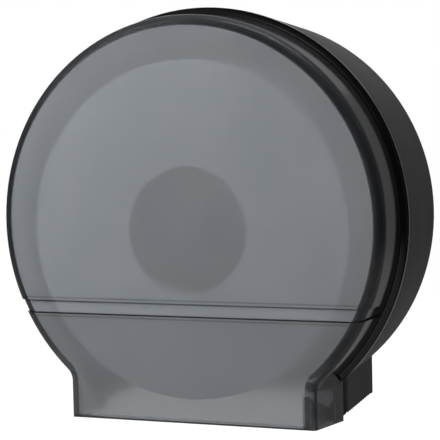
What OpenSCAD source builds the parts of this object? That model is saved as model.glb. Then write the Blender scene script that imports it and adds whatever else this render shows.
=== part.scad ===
// Wall-hung dispenser for one nine-inch jumbo bath tissue roll.
// A translucent round cover with a narrower open foot drops forward on two pins at the foot.
// The wall is the plane y = 0, the user stands on the -Y side, +Z is up.
// The origin is on the wall, at the centre of the four mounting holes and of the round body.
// Profiles are drawn as (distance from the centre, depth from the wall).

/* [Body] */
// depth from the wall to the front face
body_depth = 120; // [112:1:130]
// depth from the wall to the joint between housing and cover
joint_depth = 80; // [76:1:84]
// radius of the rim at the joint
rim_r = 144; // [142:1:150]
// how much smaller the housing's radius is at the wall than at the joint
wall_draft = 7; // [5:0.5:9]
// radius of the rounded front edge
front_round = 7; // [5:0.5:8]
// wall thickness of the cover
cover_wall = 2.8; // [2.4:0.1:3]
// thickness of the plate against the wall
back_wall = 3; // [2.5:0.5:4]

/* [Foot] */
// height of the foot's lower edge below the centre
foot_drop = 135; // [133:1:138]
// half width of the foot at the joint
foot_half = 95.5; // [94:0.5:97]
// how much narrower each side of the foot is just behind the front round
foot_front_draft = 5.5; // [4:0.5:6]
// how much narrower each side of the foot is at the wall
foot_wall_draft = 5.5; // [4.5:0.5:6.5]
// radius of the hollow corner between the round body and the foot
neck_r = 10; // [8:0.5:12]
// rise of the tear edge at the wall above the cover's lower edge
tear_rise = 5.5; // [4.5:0.5:7]
// number of tear teeth on each side
teeth = 13; // [9:1:15]
// depth of a tear tooth
tooth_depth = 2.2; // [1.5:0.1:2.6]

/* [Groove] */
// height of the groove's upper edge below the centre
groove_drop = 54; // [48:1:58]
// height of the groove
groove_h = 8.3; // [6:0.1:10]
// depth of the groove
groove_depth = 1.2; // [0.8:0.1:1.4]

/* [Roll] */
// how much smaller the paper roll's radius is than the rim's
roll_room = 29.7; // [29.5:0.1:40]
// inner diameter of the cardboard core
core_d = 84.1; // [83:0.1:85]
// wall thickness of the cardboard core
core_wall = 1.1; // [0.9:0.1:1.5]
// depth kept behind the roll for the hub's flange, the plate and the pedestal
roll_behind = 26.3; // [26.2:0.1:29]
// gap between the roll and the cover's front wall
roll_gap = 2; // [1.7:0.1:2.5]
// radius of the hub the core hangs on
hub_r = 37.2; // [36:0.1:38]

/* [Hinge] */
// how far the hinge axis lies in front of the joint
hinge_ahead = 4; // [3:0.5:5]
// height of the hinge axis above the foot's lower edge
hinge_rise = 5; // [5:0.5:6]
// radius of the hinge pins
pin_r = 2; // [1.5:0.1:2.2]

/* [Lock] */
// depth of the lock axis from the wall
lock_depth = 50; // [48:1:52]
// radius of the turning plug
plug_r = 5.5; // [5:0.1:5.6]

/* [Clearances] */
// radial clearance of turning fits
turn_gap = 0.05; // [0.03:0.01:0.08]
// gap between housing and cover at the joint
joint_gap = 0.6; // [0.5:0.1:0.8]
// gap between nested lips
lip_gap = 0.3; // [0.3:0.1:0.4]
// gap between parts that slide past each other
side_gap = 0.4; // [0.3:0.1:0.5]

/* [Hidden] */
$fn = 96;
big = 400;
// cover
cove_r = 4;
rim_flat = 0.6;
rim_t = 3;
rim_front = joint_depth + rim_t;
body_rear_r = rim_r - cove_r - rim_flat;
body_front_r = body_rear_r - 0.9;
round_depth = body_depth - front_round;
rim_pocket_r = rim_r - 1.8;
rim_pocket_depth = joint_depth + 2;
foot_bottom = -foot_drop;
edge_round = 2.5;
foot_front_half = foot_half - foot_front_draft;
foot_wall_half = foot_half - foot_wall_draft;
foot_overlap = 20;
foot_top = foot_overlap - sqrt(body_front_r * body_front_r - foot_half * foot_half);
neck_x = foot_front_half + neck_r;
neck_z = -sqrt(pow(body_front_r + neck_r, 2) - neck_x * neck_x);
neck_cut_r = neck_r + 0.02;
// room inside the cover's foot for the housing's front lip as the cover swings
foot_pocket_x = foot_half - cover_wall - 0.7;
foot_pocket_front = joint_depth + hinge_ahead + 7;
// ridge behind the groove
ridge_over = 2.5;
groove_top = -groove_drop;
groove_bottom = groove_top - groove_h;
groove_rear = rim_front + cove_r + 1;
// housing
wall_end_r = rim_r - wall_draft;
housing_front = joint_depth - joint_gap;
housing_slope = (wall_draft - 0.1) / (housing_front - 0.7);
lip_front = joint_depth + 1.5;
lip_r = rim_pocket_r - lip_gap;
lip_t = 1.7;
housing_inner_wall_r = wall_end_r - 2.8;
housing_inner_front_r = lip_r - lip_t;
foot_tuck_x = foot_pocket_x - side_gap;
foot_tuck_depth = joint_depth - 3;
foot_round_depth = joint_depth - 13;
foot_round_x = foot_wall_half + (foot_half - foot_wall_half) * foot_round_depth / joint_depth;
foot_tuck = foot_round_x - foot_tuck_x;
foot_run = foot_tuck_depth - foot_round_depth;
foot_round_r = (foot_run * foot_run + foot_tuck * foot_tuck) / (2 * foot_tuck);
foot_lip_t = 2.1;
foot_inner_x = foot_tuck_x - foot_lip_t;
foot_inner_wall_x = foot_wall_half - 3.2;
foot_inner_run = 30;
foot_inner_depth = joint_depth - foot_inner_run;
foot_lip_front = joint_depth + 8;
foot_lip_top_r = body_rear_r - cover_wall - 0.3;
lug_bottom = foot_bottom + 0.5;
// tear edge
tear_wall_z = foot_bottom + tear_rise;
tear_front_z = foot_bottom + 3.2;
tear_start = 5;
tear_end = joint_depth - 9;
tooth_pitch = (tear_end - tear_start) / teeth;
// hinge
hinge_depth = joint_depth + hinge_ahead;
hinge_z = foot_bottom + hinge_rise;
hinge_boss_r = 4.5;
lug_len = 4.4;
lug_inner_x = foot_inner_x - lug_len;
ear_outer_x = lug_inner_x - side_gap;
ear_inner_x = ear_outer_x - 4;
ear_rise = 18;
lug_reach = 14;
lug_rise = 12;
pin_head_r = 3.4;
pin_head_t = 1.2;
pin_end_x = foot_tuck_x - 0.8;
// mounting
mount_x = 65;
mount_z = 75;
mount_hole_r = 2.75;
mount_boss_r = 9;
mount_boss_t = 2.5;
rib_t = 2.2;
rib_h = 4;
ring_rib_inset = 25;
ring_rib_r = wall_end_r - ring_rib_inset;
// roll, measured from the front
roll_front = body_depth - cover_wall - roll_gap;
roll_rear = roll_behind;
roll_r = rim_r - roll_room;
core_r = core_d / 2;
roll_drop = core_r - hub_r - turn_gap;
flange_t = 2.4;
flange_r = 50;
flange_rear = roll_rear - 0.3 - flange_t;
flange_hole_at = 25;
flange_hole_r = 6;
// spindle
pedestal_half = 27;
pedestal_wall = 3;
pedestal_front = flange_rear - 9.6;
plate_half = 25;
plate_t = 2;
plate_front = pedestal_front + plate_t;
plate_screw_at = 19;
plate_boss_r = 4.8;
screw_r = 1.9;
screw_head_r = 3.8;
screw_head_t = 2.2;
screw_len = pedestal_front - back_wall - 3;
screw_drive_l = 4;
screw_drive_w = 1;
axle_r = 8;
axle_spigot_r = 5;
axle_head_r = 7.5;
axle_head_t = 2;
axle_collar_r = 12;
axle_collar_front = plate_front + 3.5;
hub_front = roll_front - 9.2;
axle_front = hub_front - 1;
washer_r = 14;
washer_t = 1.5;
washer_front = axle_collar_front + washer_t;
hub_rear = washer_front + 0.1;
bushing_r = 10.5;
hub_wall = 2.4;
hub_tube_r = 14;
hub_tube_front = hub_front - 7;
hub_web_front = hub_tube_front - 3;
hub_web_t = 2.4;
hub_spokes = 6;
spoke_t = 2;
drag_r = 12.5;
drag_front = hub_tube_front + 1.2;
retainer_rear = drag_front + 0.1;
retainer_front = axle_front + 2;
retainer_r = 13.5;
// lock
lock_recess = 2.9;
lock_floor_z = wall_end_r + housing_slope * lock_depth - lock_recess;
lock_boss_z = lock_floor_z - 4.5;
lock_boss_r = 13;
lock_pocket_r = 10.8;
lock_bore_len = 20;
barrel_flange_r = 10.2;
barrel_flange_t = 1.5;
barrel_r = 8;
barrel_bottom_z = lock_floor_z - 10.7;
lock_washer_t = 0.8;
nut_corner_r = 11.5;
nut_t = 3.2;
plug_head_r = 6.8;
plug_head_t = 1.4;
plug_top_z = lock_floor_z + barrel_flange_t - 0.3;
plug_bottom_z = barrel_bottom_z - 0.2;
key_slot_l = 7.6;
key_slot_w = 1.5;
key_slot_depth = 7;
tang = 7;
cam_t = 2;
cam_boss_r = 7.5;
cam_top_z = plug_bottom_z - 0.1;
cam_bottom_z = cam_top_z - cam_t;
cam_screw_head_r = 4.6;
cam_screw_head_t = 2.2;
cam_screw_r = 2;
cam_screw_len = 5.5;
cam_slot_l = 6;
cam_slot_w = 1.1;
cam_half = 4;
hook_t = 3;
hook_ahead = 16.2;
hook_rear = lock_depth + hook_ahead;
hook_front = hook_rear + hook_t;
barb_near = hook_front + 0.6 - lock_depth;
barb_far = barb_near + 4;
barb_side = 12;
tongue_r = body_rear_r - cover_wall - 3.8;
tongue_reach = 22;
tongue_front = joint_depth + tongue_reach;
tongue_from = 92.3;
tongue_sweep = 8;
hook_x = 24;
hook_h = 16;

// ---- helpers ----

// a profile (radius, depth) turned about the front-to-back axis
module revolve() {
  rotate([90, 0, 0])
    rotate_extrude()
      children();
}

// a front view (x, z) carried from one depth to another
module slab(from, to) {
  rotate([90, 0, 0])
    translate([0, 0, from])
      linear_extrude(to - from)
        children();
}

// a plan (x, depth) carried from one height to another
module upright(low, high) {
  translate([0, 0, low])
    linear_extrude(high - low)
      mirror([0, 1])
        children();
}

// a side view (depth, z) carried from one x to another
module across(low, high) {
  translate([high, 0, 0])
    rotate([90, 0, -90])
      linear_extrude(high - low)
        children();
}

module both_sides() {
  children();
  mirror([1, 0, 0])
    children();
}

module ring_2d(outer, inner) {
  difference() {
    circle(outer);
    circle(inner);
  }
}

// section of the cover's skin set in by d, shared by the round body and the foot
module skin_2d(rear_half, front_half, rear, d) {
  centre = front_half - front_round;
  polygon([
    [0, rear],
    [rear_half - d, rear],
    [front_half - d, round_depth],
    [centre, body_depth - d],
    [0, body_depth - d]
  ]);
  translate([centre, round_depth])
    circle(front_round - d);
}

module round_skin(rear, d) {
  revolve()
    intersection() {
      skin_2d(body_rear_r, body_front_r, rear, d);
      square([big, big]);
    }
}

module foot_skin(low, d) {
  upright(low, foot_top) {
    skin_2d(foot_half, foot_front_half, joint_depth - d, d);
    mirror([1, 0])
      skin_2d(foot_half, foot_front_half, joint_depth - d, d);
  }
}

// ---- cover ----

// hollow corner between the round body and the foot, with the front round swept along it
module neck_fillet() {
  difference() {
    slab(joint_depth + rim_t, body_depth)
      polygon([
        [neck_x, neck_z],
        [neck_x * 0.85, neck_z * 0.85],
        [foot_front_half - 2 * front_round, neck_z]
      ]);
    translate([neck_x, 0, neck_z])
      revolve()
        difference() {
          square([neck_cut_r + front_round, body_depth + 1]);
          translate([neck_cut_r, 0])
            square([front_round + 1, round_depth]);
          translate([neck_cut_r + front_round, round_depth])
            circle(front_round);
        }
  }
}

module cover_outer() {
  round_skin(rim_front - 1, 0);
  revolve()
    difference() {
      translate([body_rear_r - 6, joint_depth])
        square([rim_r - body_rear_r + 6, rim_t + cove_r]);
      translate([body_rear_r + cove_r, rim_front + cove_r])
        circle(cove_r);
      translate([body_rear_r + cove_r, rim_front])
        square([cove_r, cove_r * 2]);
    }
  foot_skin(foot_bottom, 0);
  both_sides()
    neck_fillet();
}

// what lies behind the skin set in by d, between two heights
module outside_skin(low, high, d) {
  difference() {
    translate([-rim_r, -body_depth - 1, low])
      cube([2 * rim_r, body_depth + 1 - groove_rear, high - low]);
    round_skin(joint_depth, d);
  }
}

module cover_cavity() {
  difference() {
    round_skin(joint_depth - 1, cover_wall);
    outside_skin(groove_bottom - ridge_over, groove_top + ridge_over, cover_wall + groove_depth);
  }
  slab(joint_depth - 1, rim_pocket_depth)
    circle(rim_pocket_r);
  foot_skin(foot_bottom - 1, cover_wall);
  both_sides()
    upright(foot_bottom - 1, foot_top)
      translate([0, joint_depth - 1])
        square([foot_pocket_x, foot_pocket_front - joint_depth + 1]);
}

// tongue that reaches back into the housing and turns down into the lock's hook
module cover_hook() {
  rotate([90, 0, 0])
    rotate([0, 0, tongue_from])
      rotate_extrude(angle = tongue_sweep)
        translate([tongue_r, hook_rear])
          square([cover_wall + 1.3, tongue_front - hook_rear]);
  slab(hook_rear, hook_front)
    intersection() {
      translate([-hook_x, cam_bottom_z - 4])
        square([hook_x - cam_half - 1, hook_h]);
      circle(tongue_r + 2);
    }
}

module cover_ear() {
  across(ear_inner_x, ear_outer_x) {
    translate([hinge_depth, hinge_z])
      circle(hinge_boss_r);
    polygon([
      [hinge_depth, hinge_z - hinge_boss_r],
      [body_depth - 1, hinge_z - hinge_boss_r],
      [body_depth - 1, hinge_z + ear_rise],
      [hinge_depth, hinge_z + hinge_boss_r]
    ]);
  }
}

module front_cover() {
  color([0.33, 0.34, 0.36, 0.6])
    difference() {
      union() {
        difference() {
          cover_outer();
          cover_cavity();
          outside_skin(groove_bottom, groove_top, groove_depth);
          translate([-rim_r, -body_depth - 1, -rim_r - 5])
            cube([2 * rim_r, body_depth, rim_r + 5 + foot_bottom]);
        }
        cover_hook();
        both_sides()
          cover_ear();
      }
      // rounded lower front edge
      across(-foot_half, foot_half)
        difference() {
          translate([body_depth - edge_round, foot_bottom - 1])
            square(edge_round + 1);
          translate([body_depth - edge_round, foot_bottom + edge_round])
            circle(edge_round);
        }
      both_sides()
        across(ear_inner_x - 1, ear_outer_x + 1)
          translate([hinge_depth, hinge_z])
            circle(pin_r + turn_gap);
    }
}

// ---- housing ----

module housing_outer() {
  revolve()
    polygon([
      [0, 0],
      [wall_end_r, 0],
      [rim_r - 0.1, housing_front - 0.7],
      [rim_r - 0.8, housing_front],
      [lip_r, housing_front],
      [lip_r, lip_front],
      [0, lip_front]
    ]);
  upright(lug_bottom, foot_top)
    for (side = [0, 1])
      mirror([side, 0]) {
        translate([0, foot_round_depth - 1])
          square([foot_tuck_x, foot_lip_front - foot_round_depth + 1]);
        intersection() {
          polygon([[0, 0], [foot_wall_half, 0], [foot_half, joint_depth], [0, joint_depth]]);
          union() {
            square([foot_half, foot_round_depth - 2]);
            translate([foot_round_x - foot_round_r, foot_round_depth])
              circle(foot_round_r);
          }
        }
      }
}

module housing_cavity() {
  revolve()
    polygon([
      [0, back_wall],
      [housing_inner_wall_r, back_wall],
      [housing_inner_front_r, lip_front + 0.1],
      [foot_lip_top_r, lip_front + 0.1],
      [foot_lip_top_r, foot_lip_front + 1],
      [0, foot_lip_front + 1]
    ]);
  upright(foot_bottom - 1, foot_top + 1)
    for (side = [0, 1])
      mirror([side, 0])
        polygon([
          [0, back_wall],
          [foot_inner_wall_x, back_wall],
          [foot_inner_x, foot_inner_depth],
          [foot_inner_x, foot_lip_front + 1],
          [0, foot_lip_front + 1]
        ]);
}

// what is cut away below the tear edge
module below_tear_edge() {
  slope = (tear_front_z - tear_wall_z) / tear_end;
  across(-foot_half, foot_half)
    polygon(concat(
      [[-1, -rim_r - 5], [-1, tear_wall_z], [tear_start, tear_wall_z + slope * tear_start]],
      [for (i = [0 : teeth - 1])
        for (half = [0.5, 1])
          let (t = tear_start + (i + half) * tooth_pitch)
            [t, tear_wall_z + slope * t + (half < 1 ? tooth_depth : 0)]],
      [[joint_depth - 1, lug_bottom], [foot_lip_front + 1, lug_bottom], [foot_lip_front + 1, -rim_r - 5]]
    ));
}

module hinge_lug() {
  across(lug_inner_x, foot_inner_x + 0.5) {
    translate([hinge_depth, hinge_z])
      circle(hinge_boss_r);
    polygon([
      [hinge_depth, hinge_z - hinge_boss_r],
      [hinge_depth, hinge_z + hinge_boss_r],
      [hinge_depth - lug_reach, hinge_z + lug_rise],
      [hinge_depth - lug_reach, hinge_z - hinge_boss_r]
    ]);
  }
}

module mount_places() {
  for (x = [-mount_x, mount_x])
    for (z = [-mount_z, mount_z])
      translate([x, z])
        children();
}

module plate_places() {
  for (x = [-plate_screw_at, plate_screw_at])
    for (z = [-plate_screw_at, plate_screw_at])
      translate([x, z])
        children();
}

module back_ribs() {
  slab(back_wall - 1, back_wall + rib_h) {
    ring_2d(ring_rib_r + rib_t / 2, ring_rib_r - rib_t / 2);
    for (a = [0 : 45 : 315])
      rotate(a + 22.5)
        translate([pedestal_half + 3, -rib_t / 2])
          square([ring_rib_r - pedestal_half - 3, rib_t]);
  }
  slab(back_wall - 1, back_wall + mount_boss_t + rib_h)
    mount_places()
      circle(mount_boss_r);
}

module pedestal() {
  slab(back_wall - 1, pedestal_front) {
    difference() {
      square(2 * pedestal_half, center = true);
      square(2 * (pedestal_half - pedestal_wall), center = true);
    }
    plate_places()
      circle(plate_boss_r);
  }
}

module rear_housing() {
  color([0.13, 0.13, 0.14])
    difference() {
      union() {
        difference() {
          housing_outer();
          housing_cavity();
        }
        both_sides()
          hinge_lug();
        back_ribs();
        pedestal();
        translate([0, -lock_depth, lock_boss_z])
          cylinder(r = lock_boss_r, h = lock_floor_z + 0.5 - lock_boss_z);
      }
      below_tear_edge();
      slab(-1, pedestal_front)
        mount_places()
          circle(mount_hole_r);
      slab(pedestal_front - screw_len, pedestal_front + 1)
        plate_places()
          circle(screw_r);
      both_sides()
        across(lug_inner_x - 1, pin_end_x)
          translate([hinge_depth, hinge_z])
            circle(pin_r);
      translate([0, -lock_depth, lock_floor_z])
        cylinder(r = lock_pocket_r, h = lock_bore_len);
      translate([0, -lock_depth, lock_boss_z - 1])
        cylinder(r = barrel_r, h = lock_bore_len);
    }
}

// ---- hinge ----

module hinge_pin() {
  across(ear_inner_x - 0.2 - pin_head_t, ear_inner_x - 0.2)
    translate([hinge_depth, hinge_z])
      circle(pin_head_r);
  across(ear_inner_x - 0.2 - pin_head_t / 2, pin_end_x)
    translate([hinge_depth, hinge_z])
      circle(pin_r);
}

module hinge_pin_right() {
  color([0.75, 0.76, 0.78])
    hinge_pin();
}

module hinge_pin_left() {
  color([0.75, 0.76, 0.78])
    mirror([1, 0, 0])
      hinge_pin();
}

// ---- spindle ----

module spindle_plate() {
  color([0.68, 0.69, 0.71])
    slab(pedestal_front, plate_front)
      difference() {
        square(2 * plate_half, center = true);
        circle(axle_spigot_r);
        plate_places()
          circle(screw_r + 0.3);
      }
}

module plate_screws() {
  color([0.75, 0.76, 0.78]) {
    slab(plate_front, plate_front + screw_head_t)
      plate_places()
        difference() {
          circle(screw_head_r);
          square([screw_drive_l, screw_drive_w], center = true);
          square([screw_drive_w, screw_drive_l], center = true);
        }
    slab(pedestal_front - screw_len + 1, plate_front + 0.6)
      plate_places()
        circle(screw_r);
  }
}

module axle() {
  color([0.72, 0.73, 0.75])
    revolve()
      polygon([
        [0, pedestal_front - axle_head_t],
        [axle_head_r, pedestal_front - axle_head_t],
        [axle_head_r, pedestal_front],
        [axle_spigot_r, pedestal_front],
        [axle_spigot_r, plate_front],
        [axle_collar_r, plate_front],
        [axle_collar_r, axle_collar_front],
        [axle_r, axle_collar_front],
        [axle_r, axle_front - 1],
        [axle_r - 1, axle_front],
        [0, axle_front]
      ]);
}

module thrust_washer() {
  color([0.86, 0.86, 0.84])
    slab(axle_collar_front, washer_front)
      ring_2d(washer_r, axle_r + turn_gap);
}

module hub_bushing() {
  color([0.86, 0.86, 0.84])
    revolve()
      polygon([
        [axle_r + turn_gap, hub_rear],
        [washer_r - 0.5, hub_rear],
        [washer_r - 0.5, flange_rear - 0.2],
        [bushing_r, flange_rear - 0.2],
        [bushing_r, hub_tube_front],
        [axle_r + turn_gap, hub_tube_front]
      ]);
}

module roll_hub() {
  color([0.1, 0.1, 0.11]) {
    slab(flange_rear + flange_t, hub_front)
      ring_2d(hub_r, hub_r - hub_wall);
    slab(flange_rear + flange_t, hub_tube_front)
      ring_2d(hub_tube_r, bushing_r);
    slab(hub_web_front - hub_web_t, hub_web_front)
      ring_2d(hub_r - hub_wall / 2, hub_tube_r - 1);
    slab(flange_rear + flange_t, hub_web_front - hub_web_t / 2)
      for (i = [0 : hub_spokes - 1])
        rotate(i * 360 / hub_spokes)
          translate([hub_tube_r - 0.8, -spoke_t / 2])
            square([hub_r - hub_tube_r - 0.4, spoke_t]);
  }
}

module hub_flange() {
  color([0.1, 0.1, 0.11])
    slab(flange_rear, flange_rear + flange_t)
      difference() {
        ring_2d(flange_r, bushing_r);
        for (i = [0 : hub_spokes - 1])
          rotate((i + 0.5) * 360 / hub_spokes)
            translate([flange_hole_at, 0])
              circle(flange_hole_r);
      }
}

module drag_washer() {
  color([0.75, 0.76, 0.78])
    slab(hub_tube_front, drag_front)
      ring_2d(drag_r, axle_r + turn_gap);
}

module hub_retainer() {
  color([0.1, 0.1, 0.11])
    difference() {
      revolve()
        polygon([
          [0, retainer_rear],
          [retainer_r, retainer_rear],
          [retainer_r, retainer_front - 1],
          [retainer_r - 1, retainer_front],
          [0, retainer_front]
        ]);
      revolve()
        polygon([
          [0, retainer_rear - 1],
          [axle_r, retainer_rear - 1],
          [axle_r, axle_front - 1],
          [axle_r - 1, axle_front],
          [0, axle_front]
        ]);
    }
}

module roll_core() {
  color([0.62, 0.5, 0.36])
    translate([0, 0, -roll_drop])
      slab(roll_rear, roll_front)
        ring_2d(core_r + core_wall, core_r);
}

module paper_roll() {
  color([0.95, 0.95, 0.94])
    translate([0, 0, -roll_drop])
      slab(roll_rear, roll_front)
        ring_2d(roll_r, core_r + core_wall);
}

// ---- lock ----

module at_lock(z) {
  translate([0, -lock_depth, z])
    children();
}

module lock_barrel() {
  color([0.78, 0.79, 0.81])
    difference() {
      union() {
        at_lock(lock_floor_z)
          cylinder(r = barrel_flange_r, h = barrel_flange_t);
        at_lock(barrel_bottom_z)
          cylinder(r = barrel_r - 0.02, h = lock_floor_z + 0.5 - barrel_bottom_z);
      }
      at_lock(barrel_bottom_z - 1)
        cylinder(r = plug_r + turn_gap, h = lock_bore_len);
      at_lock(plug_top_z - plug_head_t - 0.1)
        cylinder(r = plug_head_r + turn_gap, h = 5);
    }
}

module lock_washer() {
  color([0.75, 0.76, 0.78])
    at_lock(lock_boss_z - lock_washer_t)
      linear_extrude(lock_washer_t)
        ring_2d(lock_boss_r - 1, barrel_r);
}

module lock_nut() {
  color([0.75, 0.76, 0.78])
    at_lock(lock_boss_z - lock_washer_t - nut_t)
      linear_extrude(nut_t)
        difference() {
          circle(nut_corner_r, $fn = 6);
          circle(barrel_r - 0.02);
        }
}

module lock_plug() {
  color([0.8, 0.81, 0.83])
    difference() {
      union() {
        at_lock(plug_top_z - plug_head_t)
          cylinder(r = plug_head_r, h = plug_head_t);
        at_lock(plug_bottom_z)
          cylinder(r = plug_r, h = plug_top_z - 0.5 - plug_bottom_z);
        at_lock(cam_bottom_z + 0.2)
          linear_extrude(plug_bottom_z + 0.5 - cam_bottom_z - 0.2)
            square(tang, center = true);
      }
      at_lock(plug_top_z - key_slot_depth)
        linear_extrude(key_slot_depth + 1)
          square([key_slot_l, key_slot_w], center = true);
      at_lock(cam_bottom_z - 0.5)
        cylinder(r = cam_screw_r, h = cam_screw_len + 0.5);
    }
}

// unlocked: the arm points to +X and its barb to the front
module lock_cam() {
  color([0.75, 0.76, 0.78])
    at_lock(cam_bottom_z)
      linear_extrude(cam_t)
        difference() {
          union() {
            circle(cam_boss_r);
            translate([0, -cam_half])
              square([barb_far, 2 * cam_half]);
            translate([barb_near, -barb_side])
              square([barb_far - barb_near, barb_side]);
          }
          square(tang + 0.2, center = true);
        }
}

module cam_screw() {
  color([0.75, 0.76, 0.78]) {
    difference() {
      at_lock(cam_bottom_z - cam_screw_head_t)
        cylinder(r = cam_screw_head_r, h = cam_screw_head_t);
      at_lock(cam_bottom_z - cam_screw_head_t - 1)
        linear_extrude(2)
          square([cam_slot_l, cam_slot_w], center = true);
    }
    at_lock(cam_bottom_z - 0.5)
      cylinder(r = cam_screw_r, h = cam_screw_len + 0.5);
  }
}

// ---- nodes ----

rear_housing();
front_cover();
hinge_pin_left();
hinge_pin_right();
spindle_plate();
plate_screws();
axle();
thrust_washer();
hub_bushing();
roll_hub();
hub_flange();
drag_washer();
hub_retainer();
roll_core();
paper_roll();
lock_barrel();
lock_washer();
lock_nut();
lock_plug();
lock_cam();
cam_screw();
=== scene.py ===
"""Looks of the jumbo toilet roll dispenser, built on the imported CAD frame."""

import math

import bpy
from mathutils import Matrix, Vector


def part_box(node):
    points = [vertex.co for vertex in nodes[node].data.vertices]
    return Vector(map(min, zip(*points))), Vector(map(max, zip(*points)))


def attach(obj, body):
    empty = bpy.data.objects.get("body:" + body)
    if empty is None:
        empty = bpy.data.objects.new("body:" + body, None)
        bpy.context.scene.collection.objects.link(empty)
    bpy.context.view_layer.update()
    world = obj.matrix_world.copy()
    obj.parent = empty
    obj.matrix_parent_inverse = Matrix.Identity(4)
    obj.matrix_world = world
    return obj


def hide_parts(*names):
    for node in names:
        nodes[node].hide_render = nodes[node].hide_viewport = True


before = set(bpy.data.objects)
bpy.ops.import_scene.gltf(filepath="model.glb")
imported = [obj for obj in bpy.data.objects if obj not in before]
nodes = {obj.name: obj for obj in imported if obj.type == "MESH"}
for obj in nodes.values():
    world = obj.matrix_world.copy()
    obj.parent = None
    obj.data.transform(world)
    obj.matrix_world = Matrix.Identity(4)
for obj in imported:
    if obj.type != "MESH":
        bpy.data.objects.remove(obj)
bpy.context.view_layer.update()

MM = 0.001


# ---- the cover's skin, in millimetres, as the CAD shapes it ----

body_depth = 120.0
joint_depth = 80.0
front_round = 7.0
round_start = body_depth - front_round
body_front_r = 138.5
foot_front_half = 90.0
foot_draft = 5.5
foot_slope = foot_draft / (round_start - joint_depth)
foot_top = -80.3
foot_bottom = -135.0
neck_r = 10.0
neck_x = foot_front_half + neck_r
neck_z = -math.sqrt((body_front_r + neck_r) ** 2 - neck_x**2)
groove_depth = 1.2
groove_top = -54.0
groove_bottom = -62.3
ridge_over = 2.5
rim_r = 144.0
rim_front = joint_depth + 3.0
cove_r = 4.0


# ---- places, in metres, as the CAD gives them ----

face_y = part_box("front_cover")[0].y
roll_low, roll_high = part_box("paper_roll")
core_low, core_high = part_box("roll_core")
roll_centre = (roll_low + roll_high) / 2
roll_r = (roll_high.x - roll_low.x) / 2
core_outer_r = (core_high.x - core_low.x) / 2
# just below the reach of the opened cover
floor_z = -0.215


# ---- node helpers ----

FLOAT, INTEGER, VECTOR = "NodeSocketFloat", "NodeSocketInt", "NodeSocketVector"


def grey(level):
    return (level, level, level, 1)


def shaded(colour, share=1.0):
    """This share of a colour, as the four numbers that a socket takes."""
    return tuple(share * part for part in colour) + (1,)


def new_material(name):
    material = bpy.data.materials.new(name)
    material.use_nodes = True
    material.node_tree.nodes.clear()
    return material


def feed(tree, socket, value):
    """Link the socket to the value where that is a socket too, and set it to the value otherwise."""
    if isinstance(value, bpy.types.NodeSocket):
        tree.links.new(value, socket)
    else:
        socket.default_value = value


def add(tree, kind, inputs=None, **settings):
    """A node of this kind, with its settings, and its inputs as values or as sockets to link."""
    node = tree.nodes.new(kind)
    for key, value in settings.items():
        setattr(node, key, value)
    for key, value in (inputs or {}).items():
        feed(tree, node.inputs[key], value)
    return node


def maths(tree, operation, a, b=0.0, c=0.0, clamp=False):
    inputs = {0: a, 1: b, 2: c}
    return add(tree, "ShaderNodeMath", inputs, operation=operation, use_clamp=clamp).outputs[0]


def plus(tree, a, b):
    return maths(tree, "ADD", a, b)


def minus(tree, a, b):
    return maths(tree, "SUBTRACT", a, b)


def times(tree, a, b):
    return maths(tree, "MULTIPLY", a, b)


def larger(tree, a, b):
    return maths(tree, "MAXIMUM", a, b)


def smaller(tree, a, b):
    return maths(tree, "MINIMUM", a, b)


def scaled_plus(tree, a, factor, b, clamp=False):
    """a times the factor, plus b."""
    return maths(tree, "MULTIPLY_ADD", a, factor, b, clamp=clamp)


def length(tree, a, b):
    """How long the arrow with these two sides is."""
    return maths(tree, "SQRT", scaled_plus(tree, a, a, times(tree, b, b)))


def ramp(tree, value, low, high, top=1.0, smooth=True):
    """0 where the value is low, the top where it is high, and a smooth or straight way between."""
    return add(
        tree,
        "ShaderNodeMapRange",
        {"Value": value, "From Min": low, "From Max": high, "To Max": top},
        interpolation_type="SMOOTHSTEP" if smooth else "LINEAR",
    ).outputs["Result"]


def ramp_mm(tree, value, low, high, top=1.0):
    """A ramp of a value in metres between limits in millimetres."""
    return ramp(tree, value, low * MM, high * MM, top)


def stripe_mm(tree, value, low, high, soft):
    """1 between low and high, 0 outside, with edges this soft, all three in millimetres."""
    up = ramp_mm(tree, value, low - soft, low + soft)
    return times(tree, up, ramp_mm(tree, value, high + soft, high - soft))


def mix_colour(tree, factor, a, b):
    """The colour a where the factor is 0 and b where it is 1."""
    return add(tree, "ShaderNodeMix", {0: factor, 6: a, 7: b}, data_type="RGBA").outputs[2]


def mix_value(tree, factor, a, b):
    """The value a where the factor is 0 and b where it is 1."""
    return add(tree, "ShaderNodeMix", {0: factor, 2: a, 3: b}, data_type="FLOAT").outputs[0]


def mottled(tree, cloud, dark, light, low=0.3, high=0.7):
    """A colour that drifts between these two with a cloud of noise."""
    return mix_colour(tree, ramp(tree, cloud, low, high), dark, light)


def object_coordinates(tree):
    return add(tree, "ShaderNodeTexCoord").outputs["Object"]


def split(tree, vector):
    node = add(tree, "ShaderNodeSeparateXYZ", {0: vector})
    return node.outputs["X"], node.outputs["Y"], node.outputs["Z"]


def combine(tree, x, y, z):
    return add(tree, "ShaderNodeCombineXYZ", {"X": x, "Y": y, "Z": z}).outputs[0]


def dot(tree, a, b):
    return add(tree, "ShaderNodeVectorMath", {0: a, 1: b}, operation="DOT_PRODUCT").outputs["Value"]


def noise(tree, vector, scale, detail, roughness=0.5):
    inputs = {"Vector": vector, "Scale": scale, "Detail": detail, "Roughness": roughness}
    return add(tree, "ShaderNodeTexNoise", inputs).outputs[0]


def bump(tree, height, strength, distance, normal=None):
    """The normal that this height gives, on top of a softened one where that is given."""
    inputs = {"Height": height, "Strength": strength, "Distance": distance}
    if normal is not None:
        inputs["Normal"] = normal
    return add(tree, "ShaderNodeBump", inputs).outputs[0]


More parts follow.
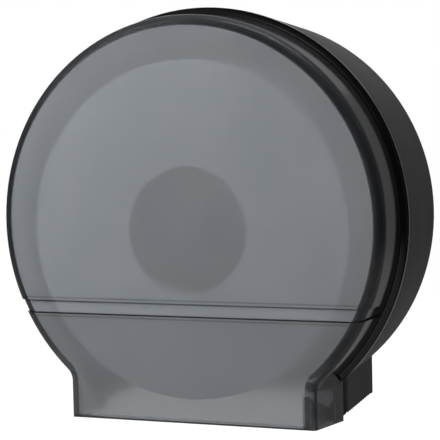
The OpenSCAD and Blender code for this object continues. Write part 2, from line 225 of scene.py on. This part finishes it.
def group(name, inputs, outputs, kind="ShaderNodeTree"):
    """A node group with named inputs (name, kind, value) and outputs (name, kind).

    Gives its tree, the sockets that bring the inputs, and the sockets that take the outputs.
    """
    tree = bpy.data.node_groups.new(name, kind)
    for label, socket_kind, value in inputs:
        socket = tree.interface.new_socket(label, in_out="INPUT", socket_type=socket_kind)
        if value is not None:
            socket.default_value = value
    for label, socket_kind in outputs:
        tree.interface.new_socket(label, in_out="OUTPUT", socket_type=socket_kind)
    return tree, tree.nodes.new("NodeGroupInput").outputs, tree.nodes.new("NodeGroupOutput").inputs


def use(tree, made, **inputs):
    """This node group placed in a tree. Gives its outputs."""
    node = tree.nodes.new("ShaderNodeGroup")
    node.node_tree = made
    for label, value in inputs.items():
        feed(tree, node.inputs[label.replace("_", " ")], value)
    return node.outputs


def finish_material(material, inputs):
    """Puts a Principled shader with these inputs on the material's output, and gives the material."""
    tree = material.node_tree
    shader = add(tree, "ShaderNodeBsdfPrincipled", inputs)
    add(tree, "ShaderNodeOutputMaterial", {"Surface": shader.outputs[0]})
    return material


# ---- effects that several materials share ----


def make_moulded_grain():
    """Fine spark-eroded texture: its height, and a cloud that makes gloss a little uneven."""
    tree, given, out = group(
        "moulded grain",
        [("Vector", VECTOR, None), ("Grain per metre", FLOAT, 2600.0), ("Gloss change", FLOAT, 0.06)],
        [("Height", FLOAT), ("Gloss", FLOAT), ("Cloud", FLOAT)],
    )
    clouds_per_metre = 26.0
    fine = noise(tree, given["Vector"], given["Grain per metre"], detail=2.0)
    cloud = noise(tree, given["Vector"], clouds_per_metre, detail=4.0, roughness=0.6)
    feed(tree, out["Height"], fine)
    feed(tree, out["Gloss"], times(tree, minus(tree, cloud, 0.5), given["Gloss change"]))
    feed(tree, out["Cloud"], cloud)
    return tree


def make_edge_wear():
    """Where an edge is rubbed: a mask of sharp edges, broken up by noise, and the softened normal."""
    tree, given, out = group(
        "edge wear",
        [("Vector", VECTOR, None), ("Width", FLOAT, 0.0006), ("Amount", FLOAT, 0.5)],
        [("Mask", FLOAT), ("Normal", VECTOR)],
    )
    # cosine of the angle between the flat and the softened normal, on a plane and on a sharp edge
    on_plane, on_edge = 0.995, 0.90
    worn_from, worn_to = 0.42, 0.66
    spots_per_metre = 90.0
    soft = add(tree, "ShaderNodeBevel", {"Radius": given["Width"]}, samples=4).outputs[0]
    flat = add(tree, "ShaderNodeNewGeometry").outputs["Normal"]
    edge = ramp(tree, dot(tree, soft, flat), on_plane, on_edge)
    spots = noise(tree, given["Vector"], spots_per_metre, detail=5.0, roughness=0.7)
    broken = times(tree, edge, ramp(tree, spots, worn_from, worn_to))
    feed(tree, out["Mask"], times(tree, broken, given["Amount"]))
    feed(tree, out["Normal"], soft)
    return tree


def make_brushed_lines():
    """Brush or lathe lines: noise that is stretched along the X of the vector it is given."""
    tree, given, out = group(
        "brushed lines",
        [("Vector", VECTOR, None), ("Lines per metre", FLOAT, 1800.0), ("Stretch", FLOAT, 0.03)],
        [("Height", FLOAT), ("Streak", FLOAT)],
    )
    x, y, z = split(tree, given["Vector"])
    pulled = combine(tree, times(tree, x, given["Stretch"]), y, z)
    lines = noise(tree, pulled, given["Lines per metre"], detail=3.0, roughness=0.7)
    feed(tree, out["Height"], lines)
    feed(tree, out["Streak"], minus(tree, lines, 0.5))
    return tree


def make_cover_skin():
    """How far a point lies under the cover's skin and aside of its flat face, in millimetres.

    The flat face ends at the body's circle, the foot's sides and the fillet in the neck between them.
    """
    tree, given, out = group(
        "cover skin", [("Vector", VECTOR, None)], [("Depth", FLOAT), ("Aside", FLOAT)]
    )
    # far enough aside that the body's circle wins over the foot's sides
    out_of_reach = 500.0
    in_mm = add(
        tree, "ShaderNodeVectorMath", {0: given["Vector"], "Scale": 1 / MM}, operation="SCALE"
    ).outputs[0]
    x, y, z = split(tree, in_mm)
    x = maths(tree, "ABSOLUTE", x)
    ahead = larger(tree, minus(tree, times(tree, y, -1.0), round_start), 0.0)
    beyond_body = minus(tree, length(tree, x, z), body_front_r - front_round)

    widening = times(tree, larger(tree, plus(tree, y, round_start), 0.0), foot_slope)
    beyond_foot = minus(tree, minus(tree, x, widening), foot_front_half - front_round)
    over_foot = ramp(tree, z, foot_top, foot_top + 1, top=out_of_reach, smooth=False)
    beyond_foot = plus(tree, beyond_foot, over_foot)

    to_neck = length(tree, minus(tree, x, neck_x), minus(tree, z, neck_z))
    beyond_neck = minus(tree, neck_r + front_round, to_neck)
    above = maths(tree, "GREATER_THAN", z, neck_z)
    below = maths(tree, "LESS_THAN", times(tree, z, neck_x), times(tree, x, neck_z))

    aside = smaller(tree, beyond_body, beyond_foot)
    aside = mix_value(tree, times(tree, above, below), aside, beyond_neck)
    from_round = length(tree, larger(tree, aside, 0.0), ahead)
    feed(tree, out["Depth"], minus(tree, front_round, from_round))
    feed(tree, out["Aside"], aside)
    return tree


moulded_grain = make_moulded_grain()
cover_skin = make_cover_skin()
edge_wear = make_edge_wear()
brushed_lines = make_brushed_lines()


# ---- materials ----

frosted_dark, frosted_light = (0.51, 0.545, 0.575, 1), (0.54, 0.57, 0.595, 1)
polished_dark, polished_light = (0.045, 0.048, 0.054, 1), (0.055, 0.058, 0.064, 1)
# painted shade: faint dark lines along the edges of the ridges over and under the groove
painted_ridge_shade = (0.2, 0.205, 0.22, 1)
# painted light: the groove's sunk band is made lighter than the face round it
painted_groove_light = (0.74, 0.78, 0.82, 1)
# painted shade: near-black lines in the groove's two corners
painted_corner_shade = (0.004, 0.004, 0.005, 1)
# painted shadow: near-black in the cove before the rim
painted_cove_shadow = grey(0.003)
inner_colour = (0.86, 0.87, 0.90, 1)
worn_black = (0.16, 0.16, 0.165, 1)
worn_metal = (0.86, 0.86, 0.87, 1)
seam_brown = (0.20, 0.145, 0.095, 1)


def frosting_mask(tree, aside, y, z):
    """1 on the flat face, fading at its edge and at the lower lip, and a thin veil beside the foot that
    is partly frosting and partly painted light.
    """
    # where each part starts and is full, in millimetres
    face_edge = (0.7, -0.8)
    veil_edge, veil_top, veil_light_share = (6.0, 3.0), (foot_top - 4, foot_top - 14), 0.2
    behind_face = (4, 3)
    lip_edge = (foot_bottom + 0.6, foot_bottom + 4.4)
    flat = ramp(tree, aside, *face_edge)
    # partly frosting, partly painted light: beside the foot the fillet takes some of the frosted
    # colour, lighter, as if lit through from behind
    painted_light_veil = times(tree, ramp_mm(tree, z, *veil_top), ramp(tree, aside, *veil_edge, top=veil_light_share))
    front = ramp(tree, y, *(face_y + depth * MM for depth in behind_face))
    lip = ramp_mm(tree, z, *lip_edge)
    return times(tree, times(tree, larger(tree, flat, painted_light_veil), front), lip)


def groove_masks(tree, z):
    """Masks of the painted shade lines in the groove's two corners and along the ridges over and under
    it, and of the painted light on its sunk band.
    """
    # lowest and highest point and softness, in millimetres
    upper_corner = (groove_top - 0.9, groove_top + 0.2, 0.15)
    lower_corner = (groove_bottom - 0.8, groove_bottom + 0.1, 0.1)
    upper_ridge = (groove_top + 1.7, groove_top + ridge_over, 0.3)
    lower_ridge = (groove_bottom - ridge_over - 0.3, groove_bottom - 2.0, 0.2)
    band = (groove_bottom + 0.4, groove_top - 1.1, 0.2)
    upper_share = 0.75
    lower = stripe_mm(tree, z, *lower_corner)
    corners = scaled_plus(tree, stripe_mm(tree, z, *upper_corner), upper_share, lower, clamp=True)
    ridge_shade_lines = plus(tree, stripe_mm(tree, z, *upper_ridge), stripe_mm(tree, z, *lower_ridge))
    return corners, ridge_shade_lines, stripe_mm(tree, z, *band)


def cove_shadow_mask(tree, x, y, z):
    """Painted shadow: 1 in the cove before the round body's rim, and 0 on the foot."""
    off_rim = (rim_r + 2.0, rim_r + 0.5)
    cove = (-(rim_front + cove_r), 0.2 - rim_front, 0.3)
    return times(tree, stripe_mm(tree, y, *cove), ramp_mm(tree, length(tree, x, z), *off_rim))


def make_smoke_cover():
    """Translucent smoke plastic: frosted on the flat face, dark and polished round it, clear inside."""
    material = new_material("smoke_cover_frosted")
    tree = material.node_tree
    where = object_coordinates(tree)
    x, y, z = split(tree, where)
    skin = use(tree, cover_skin, Vector=where)
    grain = use(tree, moulded_grain, Vector=where, Grain_per_metre=2300.0, Gloss_change=0.10)
    inner = ramp(tree, skin["Depth"], groove_depth + 0.3, groove_depth + 0.4)
    frosting = frosting_mask(tree, skin["Aside"], y, z)
    corners, ridge_shade_lines, sunk = groove_masks(tree, z)
    ridge_shade_share, groove_light_share, lower_shade_share = 0.8, 0.4, 0.16
    # painted shade: the frosted face below the groove is darkened a little
    painted_lower_shade = ramp_mm(tree, z, groove_bottom, groove_bottom - 1.0, top=lower_shade_share)

    frosted = mottled(tree, grain["Cloud"], frosted_dark, frosted_light)
    # painted shade lines along the ridges over and under the groove
    frosted = mix_colour(tree, times(tree, ridge_shade_lines, ridge_shade_share), frosted, painted_ridge_shade)
    # painted light on the groove's sunk band
    frosted = mix_colour(tree, times(tree, sunk, groove_light_share), frosted, painted_groove_light)
    # painted shade below the groove
    frosted = mix_colour(tree, painted_lower_shade, frosted, grey(0))
    polished = mottled(tree, grain["Cloud"], polished_dark, polished_light)
    colour = mix_colour(tree, frosting, polished, frosted)
    # painted shade in the groove's corners
    colour = mix_colour(tree, corners, colour, painted_corner_shade)
    # painted shadow in the cove
    colour = mix_colour(tree, cove_shadow_mask(tree, x, y, z), colour, painted_cove_shadow)
    colour = mix_colour(tree, inner, colour, inner_colour)

    polished_rough, frosted_rough = 0.12, 0.30
    rough = mix_value(tree, frosting, polished_rough, frosted_rough)
    rough = mix_value(tree, inner, rough, polished_rough)
    rough = scaled_plus(tree, grain["Gloss"], frosting, rough, clamp=True)
    height = times(tree, grain["Height"], frosting)
    return finish_material(
        material,
        {
            "Base Color": colour,
            "Roughness": rough,
            "Transmission Weight": 0.76,
            "IOR": 1.5,
            "Normal": bump(tree, height, strength=0.18, distance=0.0001),
        },
    )


def make_black_moulding(name, colour, rough, grain_per_metre=2000.0):
    """Textured black plastic in this colour, a little greyer where its edges are rubbed."""
    material = new_material(name)
    tree = material.node_tree
    where = object_coordinates(tree)
    grain = use(tree, moulded_grain, Vector=where, Grain_per_metre=grain_per_metre, Gloss_change=0.14)
    wear = use(tree, edge_wear, Vector=where, Width=0.0005, Amount=0.55)
    base = mottled(tree, grain["Cloud"], shaded(colour, 0.86), shaded(colour), low=0.25, high=0.75)
    base = mix_colour(tree, wear["Mask"], base, worn_black)
    relief = bump(tree, grain["Height"], strength=0.35, distance=0.00012, normal=wear["Normal"])
    return finish_material(
        material,
        {
            "Base Color": base,
            "Roughness": maths(tree, "ADD", grain["Gloss"], rough, clamp=True),
            "Specular IOR Level": 0.2,
            "Normal": relief,
        },
    )


def make_bearing_plastic():
    """Natural off-white plastic of the washer and the sleeve."""
    material = new_material("bearing_plastic_natural")
    tree = material.node_tree
    where = object_coordinates(tree)
    grain = use(tree, moulded_grain, Vector=where, Grain_per_metre=1500.0, Gloss_change=0.1)
    dark, light = (0.70, 0.69, 0.65, 1), (0.80, 0.80, 0.77, 1)
    return finish_material(
        material,
        {
            "Base Color": mottled(tree, grain["Cloud"], dark, light),
            "Roughness": plus(tree, grain["Gloss"], 0.42),
            "Subsurface Weight": 0.15,
            "Subsurface Scale": 0.002,
            "Normal": bump(tree, grain["Height"], strength=0.15, distance=0.0001),
        },
    )


def make_metal(name, colour, rough, lines_per_metre, stretch):
    """Brushed or turned metal in this colour, brighter where its edges are rubbed."""
    material = new_material(name)
    tree = material.node_tree
    where = object_coordinates(tree)
    lines = use(tree, brushed_lines, Vector=where, Lines_per_metre=lines_per_metre, Stretch=stretch)
    wear = use(tree, edge_wear, Vector=where, Width=0.0003, Amount=0.7)
    grain = use(tree, moulded_grain, Vector=where, Grain_per_metre=900.0, Gloss_change=0.12)
    streak_share = 0.3
    base = mottled(tree, grain["Cloud"], shaded(colour, 0.8), shaded(colour))
    base = mix_colour(tree, wear["Mask"], base, worn_metal)
    roughness = scaled_plus(tree, lines["Streak"], streak_share, rough)
    relief = bump(tree, lines["Height"], strength=0.12, distance=0.00006, normal=wear["Normal"])
    return finish_material(
        material,
        {
            "Base Color": base,
            "Metallic": 1.0,
            "Roughness": maths(tree, "ADD", roughness, grain["Gloss"], clamp=True),
            "Normal": relief,
        },
    )


def polar(tree, where):
    """Radius from the roll's centre line, turn about it and depth, of a point in object coordinates."""
    x, y, z = split(tree, where)
    z = minus(tree, z, roll_centre.z)
    return length(tree, x, z), maths(tree, "ARCTAN2", z, x), y


def make_tissue():
    """Soft white tissue: fine crepe and embossed dots on the wrap, pressed layers on the ends."""
    material = new_material("tissue_paper")
    tree = material.node_tree
    where = object_coordinates(tree)
    radius, turn, depth = polar(tree, where)
    dots_per_metre, creases_per_metre, fibres_per_metre = 230.0, 1500.0, 420.0
    dot_hollow, dot_rim = 0.1, 0.42
    crease_stretch, dot_height, crease_height = 0.2, 0.8, 0.5
    dark, light = (0.60, 0.60, 0.59, 1), (0.665, 0.665, 0.655, 1)
    around = times(tree, turn, roll_r)
    flat = combine(tree, around, depth, radius)
    pulled = combine(tree, around, times(tree, depth, crease_stretch), radius)
    crepe = noise(tree, pulled, creases_per_metre, detail=3.0)
    fibre = noise(tree, where, fibres_per_metre, detail=5.0)
    dots = add(
        tree,
        "ShaderNodeTexVoronoi",
        {"Vector": flat, "Scale": dots_per_metre, "Randomness": 0.15},
        feature="F1",
    ).outputs["Distance"]
    embossed = ramp(tree, dots, dot_hollow, dot_rim)
    height = scaled_plus(tree, embossed, dot_height, times(tree, crepe, crease_height))
    return finish_material(
        material,
        {
            "Base Color": mottled(tree, fibre, dark, light),
            "Roughness": 0.9,
            "Specular IOR Level": 0.2,
            "Sheen Weight": 0.15,
            "Sheen Roughness": 0.6,
            "Normal": bump(tree, height, strength=0.5, distance=0.0002),
        },
    )


def make_core_board():
    """Grey-brown board, wound on a slant: a seam runs round it as a helix."""
    material = new_material("core_board_wound")
    tree = material.node_tree
    where = object_coordinates(tree)
    _, turn, depth = polar(tree, where)
    winds_per_metre, seam_half, seam_share, fibres_per_metre = 14.0, 0.035, 0.6, 700.0
    dark, light = (0.34, 0.25, 0.165, 1), (0.47, 0.36, 0.25, 1)
    turned = times(tree, turn, 1 / (2 * math.pi))
    strip = maths(tree, "FRACT", scaled_plus(tree, depth, winds_per_metre, turned))
    seam = plus(tree, ramp(tree, strip, seam_half, 0.0), ramp(tree, strip, 1 - seam_half, 1.0))
    fibre = noise(tree, where, fibres_per_metre, detail=6.0, roughness=0.7)
    base = mottled(tree, fibre, dark, light)
    base = mix_colour(tree, times(tree, seam, seam_share), base, seam_brown)
    height = scaled_plus(tree, seam, -1.0, fibre)
    return finish_material(
        material,
        {
            "Base Color": base,
            "Roughness": 0.88,
            "Specular IOR Level": 0.25,
            "Normal": bump(tree, height, strength=0.4, distance=0.0002),
        },
    )


smoke_cover = make_smoke_cover()
housing_black = make_black_moulding("housing_black_textured", (0.028, 0.028, 0.029), rough=0.5)
hub_black = make_black_moulding(
    "hub_black_plastic", (0.11, 0.108, 0.106), rough=0.4, grain_per_metre=1200.0
)
bearing_plastic = make_bearing_plastic()
zinc_steel = make_metal(
    "zinc_steel", (0.60, 0.61, 0.63), rough=0.32, lines_per_metre=1700.0, stretch=0.05
)
axle_steel = make_metal(
    "turned_steel", (0.62, 0.62, 0.63), rough=0.24, lines_per_metre=2600.0, stretch=1.0
)
lock_chrome = make_metal(
    "lock_chrome_plate", (0.80, 0.81, 0.83), rough=0.12, lines_per_metre=2600.0, stretch=1.0
)
tissue = make_tissue()
core_board = make_core_board()

finishes = {
    "front_cover": smoke_cover,
    "rear_housing": housing_black,
    "hinge_pin_left": zinc_steel,
    "hinge_pin_right": zinc_steel,
    "spindle_plate": zinc_steel,
    "plate_screws": zinc_steel,
    "axle": axle_steel,
    "thrust_washer": bearing_plastic,
    "hub_bushing": bearing_plastic,
    "roll_hub": hub_black,
    "hub_flange": hub_black,
    "drag_washer": zinc_steel,
    "hub_retainer": hub_black,
    "roll_core": core_board,
    "paper_roll": tissue,
    "lock_barrel": lock_chrome,
    "lock_washer": zinc_steel,
    "lock_nut": zinc_steel,
    "lock_plug": lock_chrome,
    "lock_cam": zinc_steel,
    "cam_screw": zinc_steel,
}
for name, material in finishes.items():
    for material_slot in nodes[name].material_slots:
        material_slot.material = material


# ---- the wound paper ----


def make_wound_sheet():
    """A roll of sheet as one closed solid, with stepped end faces and the sheet's free end on its wrap.

    A grid is bent into place: its columns follow the turn, and its rows walk over the front face, back
    along the wrap, over the rear face and forward through the bore.
    """
    columns, rows_per_layer, wrap_rows, bore_rows = 144, 3, 6, 2
    # share of a turn that the sheet's end takes up, and widths in metres
    end_turn = 0.0004
    edge_fade, round_width, round_depth = 0.001, 0.0016, 0.0009
    noise_per_turn, noise_apart = 0.8, 50.0
    weld = 1e-6
    tree, size, out = group(
        "wound sheet",
        [
            ("Inner radius", FLOAT, 0.04),
            ("Outer radius", FLOAT, 0.1),
            ("Front", FLOAT, 0.0),
            ("Back", FLOAT, 0.1),
            ("Centre height", FLOAT, 0.0),
            ("Layers", INTEGER, 30),
            ("Sheet end at", FLOAT, 0.0),
            ("Sheet step", FLOAT, 0.0005),
            ("Unevenness", FLOAT, 0.0006),
            ("Layer groove", FLOAT, 0.0002),
            ("Seed", FLOAT, 7.0),
            ("Material", "NodeSocketMaterial", None),
        ],
        [("Geometry", "NodeSocketGeometry")],
        "GeometryNodeTree",
    )
    face_rows = scaled_plus(tree, size["Layers"], rows_per_layer, rows_per_layer)
    rows = scaled_plus(tree, face_rows, 2.0, wrap_rows + bore_rows)
    counts = {"Vertices X": columns + 1, "Vertices Y": plus(tree, rows, 1.0)}
    grid = add(tree, "GeometryNodeMeshGrid", {"Size X": 1.0, "Size Y": 1.0, **counts})
    across, along, _ = split(tree, add(tree, "GeometryNodeInputPosition").outputs[0])
    across = plus(tree, across, 0.5)
    row = times(tree, plus(tree, along, 0.5), rows)

    # the last column steps back to the outer radius: it is the sheet's end
    last = maths(tree, "GREATER_THAN", across, 1 - 0.5 / columns)
    turn = maths(tree, "MULTIPLY", across, columns / (columns - 1), clamp=True)
    turn = scaled_plus(tree, last, end_turn, times(tree, turn, 1 - end_turn))
    lag = times(tree, times(tree, turn, minus(tree, 1.0, last)), size["Sheet step"])
    wrap_r = minus(tree, size["Outer radius"], lag)

    def walked(first, count):
        """How much of this many rows from the first one on lies before the row, from 0 to 1."""
        return maths(tree, "DIVIDE", minus(tree, row, first), count, clamp=True)

    rear_first = plus(tree, face_rows, wrap_rows)
    bore_first = plus(tree, rear_first, face_rows)
    outward = minus(tree, walked(0.0, face_rows), walked(rear_first, face_rows))
    rearward = minus(tree, walked(face_rows, wrap_rows), walked(bore_first, bore_rows))

    wound = scaled_plus(tree, outward, plus(tree, size["Layers"], 1.0), turn)
    span = minus(tree, size["Outer radius"], size["Inner radius"])
    pitch = maths(tree, "DIVIDE", span, size["Layers"])
    radius = scaled_plus(tree, minus(tree, wound, 1.0), pitch, size["Inner radius"])
    radius = smaller(tree, larger(tree, radius, size["Inner radius"]), wrap_r)

    # how deep each layer's edge lies in the end faces
    to_wrap = minus(tree, wrap_r, radius)
    inside = ramp(tree, minus(tree, radius, size["Inner radius"]), 0.0, edge_fade)
    inside = times(tree, inside, ramp(tree, to_wrap, 0.0, edge_fade))
    at = scaled_plus(tree, wound, noise_per_turn, size["Seed"])
    at = plus(tree, at, times(tree, rearward, noise_apart))
    uneven = add(
        tree, "ShaderNodeTexNoise", {"W": at, "Scale": 1.0, "Detail": 1.0}, noise_dimensions="1D"
    ).outputs[0]
    wave = maths(tree, "COSINE", times(tree, wound, 2 * math.pi))
    groove = times(tree, scaled_plus(tree, wave, 0.5, 0.5), size["Layer groove"])
    sunk = times(tree, scaled_plus(tree, uneven, size["Unevenness"], groove), inside)
    sunk = plus(tree, sunk, ramp(tree, to_wrap, round_width, 0.0, top=round_depth))
    sunk = times(tree, sunk, scaled_plus(tree, rearward, -2.0, 1.0))
    thick = minus(tree, size["Back"], size["Front"])
    depth = plus(tree, scaled_plus(tree, rearward, thick, size["Front"]), sunk)

    angle = scaled_plus(tree, turn, 2 * math.pi, size["Sheet end at"])
    sideways = times(tree, radius, maths(tree, "COSINE", angle))
    upwards = scaled_plus(tree, radius, maths(tree, "SINE", angle), size["Centre height"])
    place = combine(tree, sideways, depth, upwards)
    made = {"Geometry": grid.outputs["Mesh"], "Position": place}
    made = add(tree, "GeometryNodeSetPosition", made).outputs[0]
    made = add(tree, "GeometryNodeMergeByDistance", {"Geometry": made, "Distance": weld}).outputs[0]
    made = add(tree, "GeometryNodeSetShadeSmooth", {"Geometry": made}).outputs[0]
    made = add(tree, "GeometryNodeFlipFaces", {"Mesh": made}).outputs[0]
    made = add(tree, "GeometryNodeRealizeInstances", {"Geometry": made}).outputs[0]
    made = {"Geometry": made, "Material": size["Material"]}
    feed(tree, out["Geometry"], add(tree, "GeometryNodeSetMaterial", made).outputs[0])
    return tree


def grown(name, tree, sizes, crease=35):
    """A plain mesh object that this Geometry Nodes tree makes.

    Edges that bend by more than the crease, in degrees, are sharp.
    """
    seed_mesh = bpy.data.meshes.new(name + "_seed")
    maker = bpy.data.objects.new(name + "_seed", seed_mesh)
    bpy.context.scene.collection.objects.link(maker)
    modifier = maker.modifiers.new("grow", "NODES")
    modifier.node_group = tree
    for item in tree.interface.items_tree:
        if item.in_out == "INPUT" and item.name in sizes:
            modifier[item.identifier] = sizes[item.name]
    shown = maker.evaluated_get(bpy.context.evaluated_depsgraph_get())
    mesh = bpy.data.meshes.new_from_object(shown)
    mesh.name = name
    bpy.data.objects.remove(maker)
    bpy.data.meshes.remove(seed_mesh)
    mesh.set_sharp_from_angle(angle=math.radians(crease))
    piece = bpy.data.objects.new(name, mesh)
    bpy.context.scene.collection.objects.link(piece)
    return piece


wound_paper = grown(
    "wound_paper",
    make_wound_sheet(),
    {
        "Inner radius": core_outer_r,
        "Outer radius": roll_r,
        "Front": roll_low.y,
        "Back": roll_high.y,
        "Centre height": roll_centre.z,
        "Layers": 30,
        "Sheet end at": math.radians(150),
        "Sheet step": 0.0005,
        "Unevenness": 0.0006,
        "Layer groove": 0.0002,
        "Seed": 7.0,
        "Material": tissue,
    },
)
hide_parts("paper_roll")
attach(wound_paper, "roll")


# ---- floor, light and camera ----

# the camera stands to the right of the front and a little above it, and leans slightly
camera_azimuth, camera_elevation, camera_roll = (math.radians(a) for a in (23.09, 4.40, -1.31))
camera_distance = 1.2150
camera_target = Vector((0.00037, -0.06014, -0.00232))
camera_lens, camera_sensor = 142.82, 36.0

# name, place, aim, width and height, watts, and whether gloss mirrors it
softboxes = (
    ("key_softbox", (-0.46, -0.50, 0.43), (0, -0.12, 0.02), (0.45, 0.45), 6.7, False),
    ("fill_softbox", (0.15, -1.50, 0.02), (0, -0.12, 0), (0.8, 0.8), 4.8, False),
    ("rear_softbox", (-0.25, 1.25, 0.95), (0, 0, 0), (1.3, 1.3), 7.0, False),
    ("rear_card", (-0.23, 1.15, 0.88), (0, 0, 0), (1.2, 1.2), 0.8, True),
    ("top_softbox", (0.25, 0.15, 1.5), (0, -0.06, 0), (1.2, 0.7), 19.0, False),
)


def make_floor():
    """A pale floor that keeps the soft shadow and fades out to the white behind it."""
    half = 1.6
    fade_from, fade_to = 0.5, 1.5
    seen_grey, unseen_grey = 0.16, 0.06
    mirrored_glow, shown_glow = 0.13, 0.90
    corners = [(x * half, y * half, floor_z) for x, y in ((-1, -1), (1, -1), (1, 1), (-1, 1))]
    mesh = bpy.data.meshes.new("floor")
    mesh.from_pydata(corners, [], [(0, 1, 2, 3)])
    floor = bpy.data.objects.new("floor", mesh)
    bpy.context.scene.collection.objects.link(floor)

    material = new_material("pale_floor")
    tree = material.node_tree
    x, y, _ = split(tree, object_coordinates(tree))
    near = ramp(tree, length(tree, x, y), fade_to, fade_from)
    path = add(tree, "ShaderNodeLightPath").outputs
    mirrored = larger(tree, path["Is Glossy Ray"], path["Is Transmission Ray"])
    seen = larger(tree, path["Is Camera Ray"], mirrored)
    glow = mix_value(tree, path["Is Camera Ray"], mirrored_glow, shown_glow)
    lit = add(tree, "ShaderNodeBsdfDiffuse", {"Color": grey(seen_grey)}).outputs[0]
    glowing = add(tree, "ShaderNodeEmission", {"Color": grey(1), "Strength": glow}).outputs[0]
    shown = add(tree, "ShaderNodeAddShader", {0: lit, 1: glowing}).outputs[0]
    paler = add(tree, "ShaderNodeBsdfDiffuse", {"Color": grey(unseen_grey)}).outputs[0]
    surface = add(tree, "ShaderNodeMixShader", {0: seen, 1: paler, 2: shown}).outputs[0]
    clear = add(tree, "ShaderNodeBsdfTransparent").outputs[0]
    faded = add(tree, "ShaderNodeMixShader", {0: near, 1: clear, 2: surface}).outputs[0]
    add(tree, "ShaderNodeOutputMaterial", {"Surface": faded})
    mesh.materials.append(material)


def make_world():
    """White to the camera. Gloss sees white behind, grey at the back and above, and dark elsewhere."""
    dark, added_grey, above_share, unseen_grey = 0.035, 0.19, 0.8, 0.23
    # cosine of the angle to straight behind the object, turn from straight ahead in degrees, and height
    white_from, white_to = 0.93, 0.985
    panel_from, panel_to = 105, 150
    rear_from, rear_to = -165, -178
    above_from, above_to = 0.3, 0.9
    world = bpy.data.worlds.new("studio")
    bpy.context.scene.world = world
    world.use_nodes = True
    tree = world.node_tree
    tree.nodes.clear()
    direction = add(tree, "ShaderNodeTexCoord").outputs["Generated"]
    x, y, z = split(tree, direction)
    behind = (-math.sin(camera_azimuth), math.cos(camera_azimuth), 0.0)
    white = ramp(tree, dot(tree, direction, behind), white_from, white_to)
    turn = maths(tree, "ARCTAN2", x, times(tree, y, -1.0))
    panel = ramp(tree, turn, math.radians(panel_from), math.radians(panel_to))
    rear = ramp(tree, turn, math.radians(rear_from), math.radians(rear_to))
    above = times(tree, ramp(tree, z, above_from, above_to), above_share)
    pale = larger(tree, larger(tree, panel, rear), above)
    mirrored = mix_value(tree, white, scaled_plus(tree, pale, added_grey, dark), 1.0)
    path = add(tree, "ShaderNodeLightPath").outputs
    seen = larger(tree, path["Is Glossy Ray"], path["Is Transmission Ray"])
    level = mix_value(tree, seen, unseen_grey, mirrored)
    level = mix_value(tree, path["Is Camera Ray"], level, 1.0)
    background = add(tree, "ShaderNodeBackground", {"Color": grey(1), "Strength": level})
    add(tree, "ShaderNodeOutputWorld", {"Surface": background.outputs[0]})


def add_softbox(name, place, aim, size, watts, mirrored):
    lamp = bpy.data.lights.new(name, "AREA")
    lamp.shape = "RECTANGLE"
    lamp.size, lamp.size_y = size
    lamp.energy = watts
    obj = bpy.data.objects.new(name, lamp)
    obj.visible_glossy = mirrored
    obj.location = place
    obj.rotation_euler = (Vector(aim) - Vector(place)).to_track_quat("-Z", "Y").to_euler()
    bpy.context.scene.collection.objects.link(obj)


def make_camera():
    level = math.cos(camera_elevation)
    back = Vector(
        (
            math.sin(camera_azimuth) * level,
            -math.cos(camera_azimuth) * level,
            math.sin(camera_elevation),
        )
    )
    right = (-back).cross(Vector((0, 0, 1))).normalized()
    up = right.cross(-back).normalized()
    right, up = (
        math.cos(camera_roll) * right + math.sin(camera_roll) * up,
        -math.sin(camera_roll) * right + math.cos(camera_roll) * up,
    )
    camera = bpy.data.cameras.new("camera")
    camera.sensor_width = camera_sensor
    camera.lens = camera_lens
    camera.clip_start = 0.01
    obj = bpy.data.objects.new("camera", camera)
    turned = Matrix((right, up, back)).transposed().to_4x4()
    obj.matrix_world = Matrix.Translation(camera_target + camera_distance * back) @ turned
    bpy.context.scene.collection.objects.link(obj)
    bpy.context.scene.camera = obj


make_floor()
make_world()
for softbox in softboxes:
    add_softbox(*softbox)
make_camera()
bpy.context.scene.view_settings.view_transform = "Standard"
